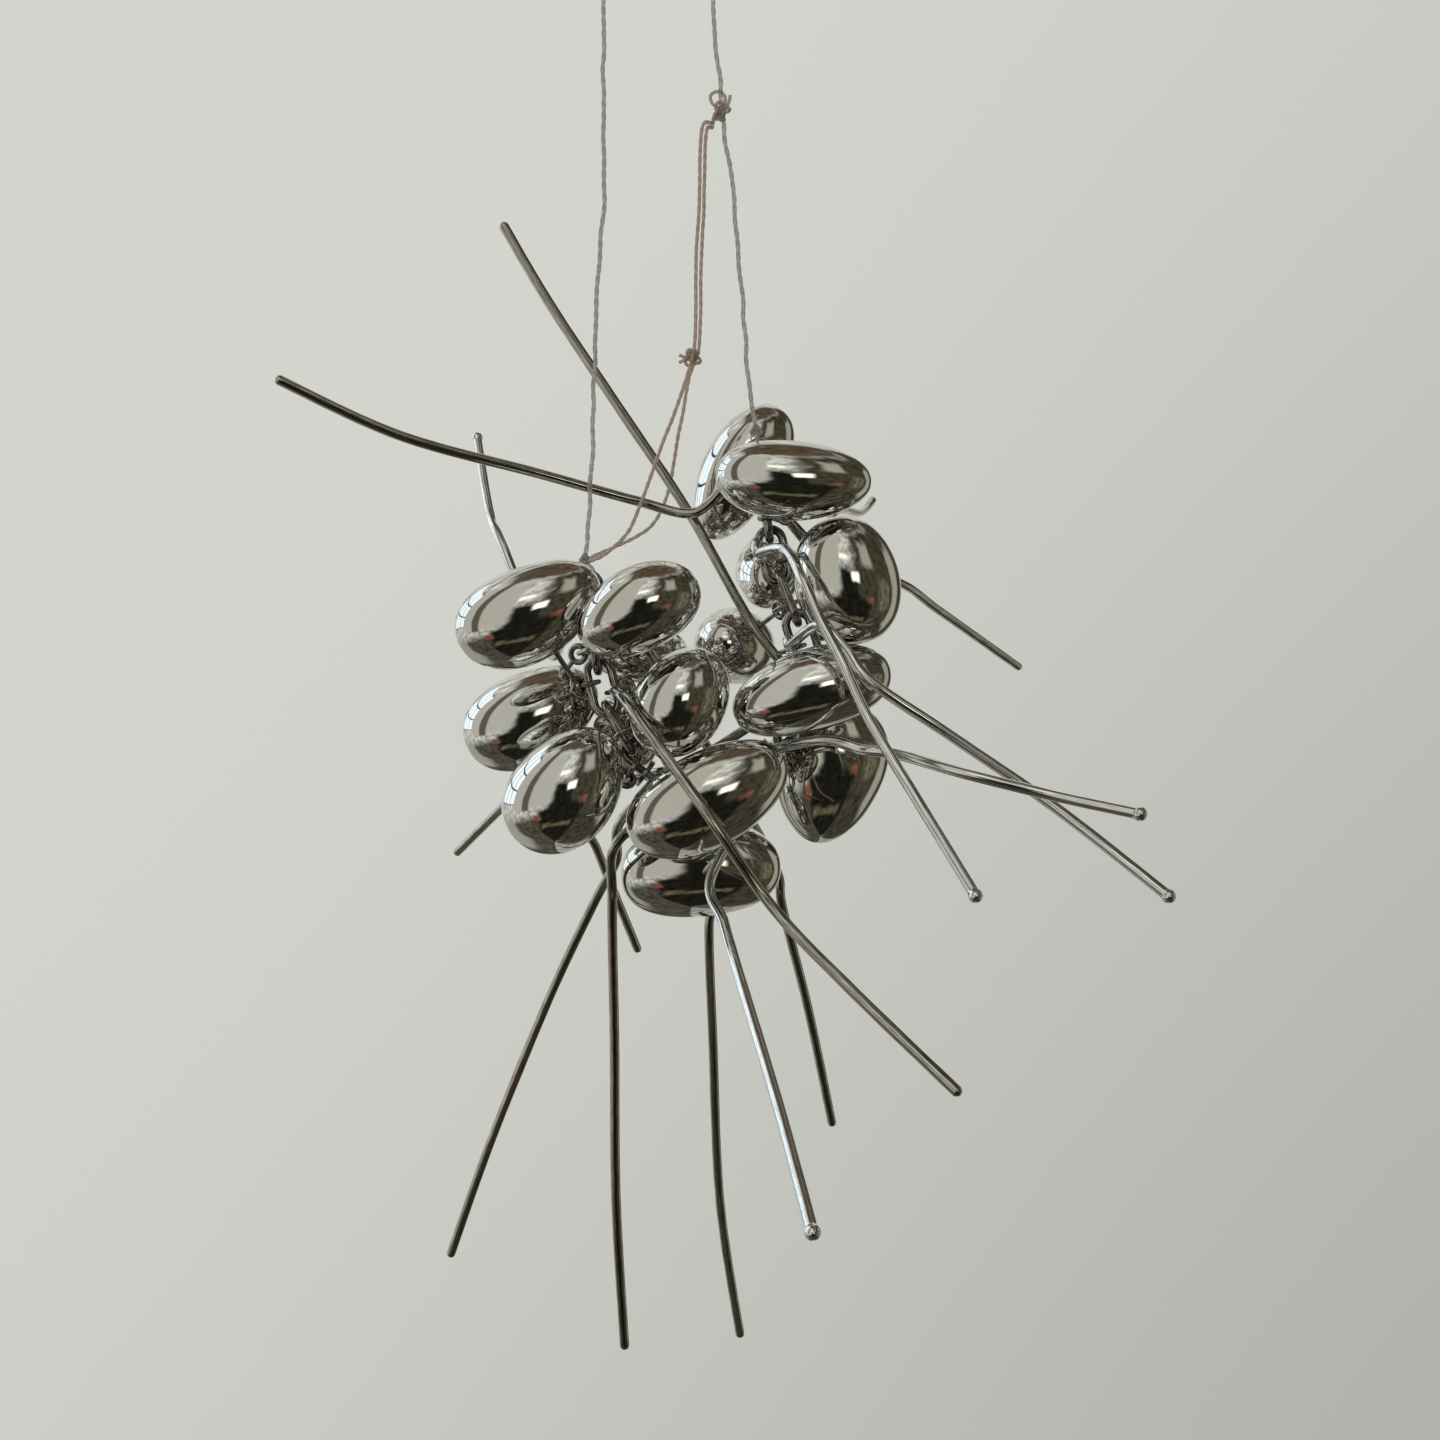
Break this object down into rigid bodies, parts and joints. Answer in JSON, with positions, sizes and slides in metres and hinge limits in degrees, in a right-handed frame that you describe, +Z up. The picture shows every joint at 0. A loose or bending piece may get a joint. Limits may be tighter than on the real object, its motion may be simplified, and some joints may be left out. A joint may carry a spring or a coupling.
{
  "type": "hanging pebble mobile",
  "caption": "Hanging mobile of polished metal pebbles and long bent wire pins, jump-ringed to a loop of chain and hung on threads from ceiling hooks.",
  "frame": {"origin": "midway between the two hooks, where their shanks enter the ceiling", "axes": "+Z up, +X from the left hook to the right hook, the viewer looks along +Y"},
  "size_m": [0.1067, 0.1032, 0.2091],
  "materials": {
    "hook_steel": "plated",
    "thread": "twisted translucent thread",
    "tan_cord": "twisted cord",
    "chain_steel": "polished",
    "polished_metal": "mirror polished",
    "pin_steel": "drawn, lightly scratched"
  },
  "bodies": {
    "ceiling_hooks": {"left_hook": "hook_steel", "right_hook": "hook_steel"},
    "threads_and_chain": {"left_thread": "thread", "right_thread": "thread", "thread_knots": "thread", "front_cord_strand": "tan_cord", "back_cord_strand": "tan_cord", "upper_cord_knot": "tan_cord", "lower_cord_knot": "tan_cord", "chain_links": "chain_steel", "jump_rings": "chain_steel"},
    "pebble_1": {"pebble_1": "polished_metal", "pebble_eye_1": "chain_steel"},
    "pebble_2": {"pebble_2": "polished_metal", "pebble_eye_2": "chain_steel"},
    "pebble_3": {"pebble_3": "polished_metal", "pebble_eye_3": "chain_steel"},
    "pebble_4": {"pebble_4": "polished_metal", "pebble_eye_4": "chain_steel"},
    "pebble_5": {"pebble_5": "polished_metal", "pebble_eye_5": "chain_steel"},
    "pebble_6": {"pebble_6": "polished_metal", "pebble_eye_6": "chain_steel"},
    "pebble_7": {"pebble_7": "polished_metal", "pebble_eye_7": "chain_steel"},
    "pebble_8": {"pebble_8": "polished_metal", "pebble_eye_8": "chain_steel"},
    "pebble_9": {"pebble_9": "polished_metal", "pebble_eye_9": "chain_steel"},
    "pebble_10": {"pebble_10": "polished_metal", "pebble_eye_10": "chain_steel"},
    "pebble_11": {"pebble_11": "polished_metal", "pebble_eye_11": "chain_steel"},
    "pebble_12": {"pebble_12": "polished_metal", "pebble_eye_12": "chain_steel"},
    "pebble_13": {"pebble_13": "polished_metal", "pebble_eye_13": "chain_steel"},
    "pebble_14": {"pebble_14": "polished_metal", "pebble_eye_14": "chain_steel"},
    "pebble_15": {"pebble_15": "polished_metal", "pebble_eye_15": "chain_steel"},
    "pebble_16": {"pebble_16": "polished_metal", "pebble_eye_16": "chain_steel"},
    "pin_1": {"pin_1": "pin_steel"},
    "pin_2": {"pin_2": "pin_steel"},
    "pin_3": {"pin_3": "pin_steel"},
    "pin_4": {"pin_4": "pin_steel"},
    "pin_5": {"pin_5": "pin_steel"},
    "pin_6": {"pin_6": "pin_steel"},
    "pin_7": {"pin_7": "pin_steel"},
    "pin_8": {"pin_8": "pin_steel"},
    "pin_9": {"pin_9": "pin_steel"},
    "pin_10": {"pin_10": "pin_steel"},
    "pin_11": {"pin_11": "pin_steel"},
    "pin_12": {"pin_12": "pin_steel"},
    "pin_13": {"pin_13": "pin_steel"},
    "pin_14": {"pin_14": "pin_steel"},
    "pin_15": {"pin_15": "pin_steel"},
    "pin_16": {"pin_16": "pin_steel"}
  },
  "joints": [
    {"name": "mobile_swing", "type": "hinge", "parent": "ceiling_hooks", "child": "threads_and_chain", "pos_m": [0, 0, -0.01], "axis": [1, 0, 0], "range_deg": [-10, 10]},
    {"name": "pebble_1_swing", "type": "hinge", "parent": "threads_and_chain", "child": "pebble_1", "pos_m": [-0.00979, -0.00233, -0.10372], "axis": [-0.8403, 0.5, -0.2095], "range_deg": [-6, 8]},
    {"name": "pebble_2_swing", "type": "hinge", "parent": "threads_and_chain", "child": "pebble_2", "pos_m": [-0.00675, -0.00388, -0.09897], "axis": [-0.8576, -0.5, -0.1205], "range_deg": [-8, 2]},
    {"name": "pebble_3_swing", "type": "hinge", "parent": "threads_and_chain", "child": "pebble_3", "pos_m": [-0.00697, 0.00329, -0.09739], "axis": [0.8576, -0.5, 0.1205], "range_deg": [-8, 12]},
    {"name": "pebble_4_swing", "type": "hinge", "parent": "threads_and_chain", "child": "pebble_4", "pos_m": [-0.0101, 0.00205, -0.09944], "axis": [0.3387, 0.9397, 0.0476], "range_deg": [0, 12]},
    {"name": "pebble_5_swing", "type": "hinge", "parent": "threads_and_chain", "child": "pebble_5", "pos_m": [-0.00172, 0.00201, -0.1151], "axis": [0.5789, 0.1736, 0.7967], "range_deg": [-12, 2]},
    {"name": "pebble_6_swing", "type": "hinge", "parent": "threads_and_chain", "child": "pebble_6", "pos_m": [-0.00383, -0.00181, -0.11528], "axis": [-0.3778, 0.766, -0.52], "range_deg": [-12, 12]},
    {"name": "pebble_7_swing", "type": "hinge", "parent": "threads_and_chain", "child": "pebble_7", "pos_m": [-0.00292, -0.00336, -0.10877], "axis": [-0.5567, -0.766, -0.3214], "range_deg": [-2, 2]},
    {"name": "pebble_8_swing", "type": "hinge", "parent": "threads_and_chain", "child": "pebble_8", "pos_m": [0.00941, 0.0005, -0.11883], "axis": [-0.0827, 0.9397, 0.3319], "range_deg": [-12, 4]},
    {"name": "pebble_9_swing", "type": "hinge", "parent": "threads_and_chain", "child": "pebble_9", "pos_m": [0.00295, -0.00416, -0.11544], "axis": [-0.171, 0.1736, -0.9698], "range_deg": [-8, 4]},
    {"name": "pebble_10_swing", "type": "hinge", "parent": "threads_and_chain", "child": "pebble_10", "pos_m": [0.01976, 0.00173, -0.11037], "axis": [-0.7647, 0.5, 0.4066], "range_deg": [-12, 12]},
    {"name": "pebble_11_swing", "type": "hinge", "parent": "threads_and_chain", "child": "pebble_11", "pos_m": [0.02051, -0.00233, -0.10896], "axis": [0.7647, 0.5, -0.4066], "range_deg": [-2, 4]},
    {"name": "pebble_12_swing", "type": "hinge", "parent": "threads_and_chain", "child": "pebble_12", "pos_m": [0.01586, 0.00329, -0.09359], "axis": [-0.803, -0.5, -0.3244], "range_deg": [-8, 12]},
    {"name": "pebble_13_swing", "type": "hinge", "parent": "threads_and_chain", "child": "pebble_13", "pos_m": [0.01616, -0.00265, -0.08209], "axis": [0.3387, 0.9397, 0.0476], "range_deg": [-4, 2]},
    {"name": "pebble_14_swing", "type": "hinge", "parent": "threads_and_chain", "child": "pebble_14", "pos_m": [0.01702, 0.00201, -0.0874], "axis": [-0.9556, 0.1736, -0.2382], "range_deg": [-12, 10]},
    {"name": "pebble_15_swing", "type": "hinge", "parent": "threads_and_chain", "child": "pebble_15", "pos_m": [0.01659, -0.00181, -0.07649], "axis": [0.6393, 0.766, 0.0672], "range_deg": [-12, 4]},
    {"name": "pebble_16_swing", "type": "hinge", "parent": "threads_and_chain", "child": "pebble_16", "pos_m": [0.01504, 0.00201, -0.07505], "axis": [-0.9794, 0.1736, -0.1029], "range_deg": [-12, 12]},
    {"name": "pin_1_swing", "type": "hinge", "parent": "threads_and_chain", "child": "pin_1", "pos_m": [-0.01133, 0.00173, -0.09387], "axis": [0.8613, 0.5, 0.0905], "range_deg": [-12, 12]},
    {"name": "pin_2_swing", "type": "hinge", "parent": "threads_and_chain", "child": "pin_2", "pos_m": [0.00011, -0.00181, -0.10986], "axis": [-0.3778, -0.766, -0.52], "range_deg": [0, 6]},
    {"name": "pin_3_swing", "type": "hinge", "parent": "threads_and_chain", "child": "pin_3", "pos_m": [-0.00684, 0.00276, -0.10918], "axis": [0.5567, 0.766, 0.3214], "range_deg": [-12, 2]},
    {"name": "pin_4_swing", "type": "hinge", "parent": "threads_and_chain", "child": "pin_4", "pos_m": [0.01458, 0.00356, -0.11177], "axis": [-0.6063, -0.1736, 0.776], "range_deg": [0, 4]},
    {"name": "pin_5_swing", "type": "hinge", "parent": "threads_and_chain", "child": "pin_5", "pos_m": [0.00419, 0.00125, -0.11763], "axis": [0, 1, 0], "range_deg": [-4, 12]},
    {"name": "pin_6_swing", "type": "hinge", "parent": "threads_and_chain", "child": "pin_6", "pos_m": [0.01403, 0.0005, -0.10733], "axis": [-0.302, -0.9397, 0.1606], "range_deg": [-4, 2]},
    {"name": "pin_7_swing", "type": "hinge", "parent": "threads_and_chain", "child": "pin_7", "pos_m": [0.01468, -0.00336, -0.11449], "axis": [0.3957, 0.766, -0.5065], "range_deg": [-12, 12]},
    {"name": "pin_8_swing", "type": "hinge", "parent": "threads_and_chain", "child": "pin_8", "pos_m": [-0.00412, 0.00173, -0.10395], "axis": [0.8403, -0.5, 0.2095], "range_deg": [-2, 6]},
    {"name": "pin_9_swing", "type": "hinge", "parent": "threads_and_chain", "child": "pin_9", "pos_m": [-0.00489, 0.0005, -0.09319], "axis": [0.3401, -0.9397, 0.0358], "range_deg": [0, 12]},
    {"name": "pin_10_swing", "type": "hinge", "parent": "threads_and_chain", "child": "pin_10", "pos_m": [0.00958, -0.00261, -0.11289], "axis": [0.2382, -0.1736, -0.9556], "range_deg": [-8, 0]},
    {"name": "pin_11_swing", "type": "hinge", "parent": "threads_and_chain", "child": "pin_11", "pos_m": [0.01709, 0.00205, -0.10217], "axis": [-0.3412, -0.9397, 0.0239], "range_deg": [-4, 4]},
    {"name": "pin_12_swing", "type": "hinge", "parent": "threads_and_chain", "child": "pin_12", "pos_m": [0.01695, -0.00261, -0.09903], "axis": [0.9366, -0.1736, 0.3043], "range_deg": [-10, 4]},
    {"name": "pin_13_swing", "type": "hinge", "parent": "threads_and_chain", "child": "pin_13", "pos_m": [0.01553, 0.00276, -0.08056], "axis": [-0.6365, 0.766, -0.0895], "range_deg": [-12, 12]},
    {"name": "pin_14_swing", "type": "hinge", "parent": "threads_and_chain", "child": "pin_14", "pos_m": [0.01283, -0.00261, -0.08679], "axis": [0.9556, -0.1736, 0.2382], "range_deg": [-12, 0]},
    {"name": "pin_15_swing", "type": "hinge", "parent": "threads_and_chain", "child": "pin_15", "pos_m": [0.00952, 0.0005, -0.07723], "axis": [-0.3401, -0.9397, -0.0358], "range_deg": [-12, 12]},
    {"name": "pin_16_swing", "type": "hinge", "parent": "threads_and_chain", "child": "pin_16", "pos_m": [0.02091, 0.00173, -0.09606], "axis": [-0.8236, 0.5, -0.2676], "range_deg": [-12, 12]}
  ]
}
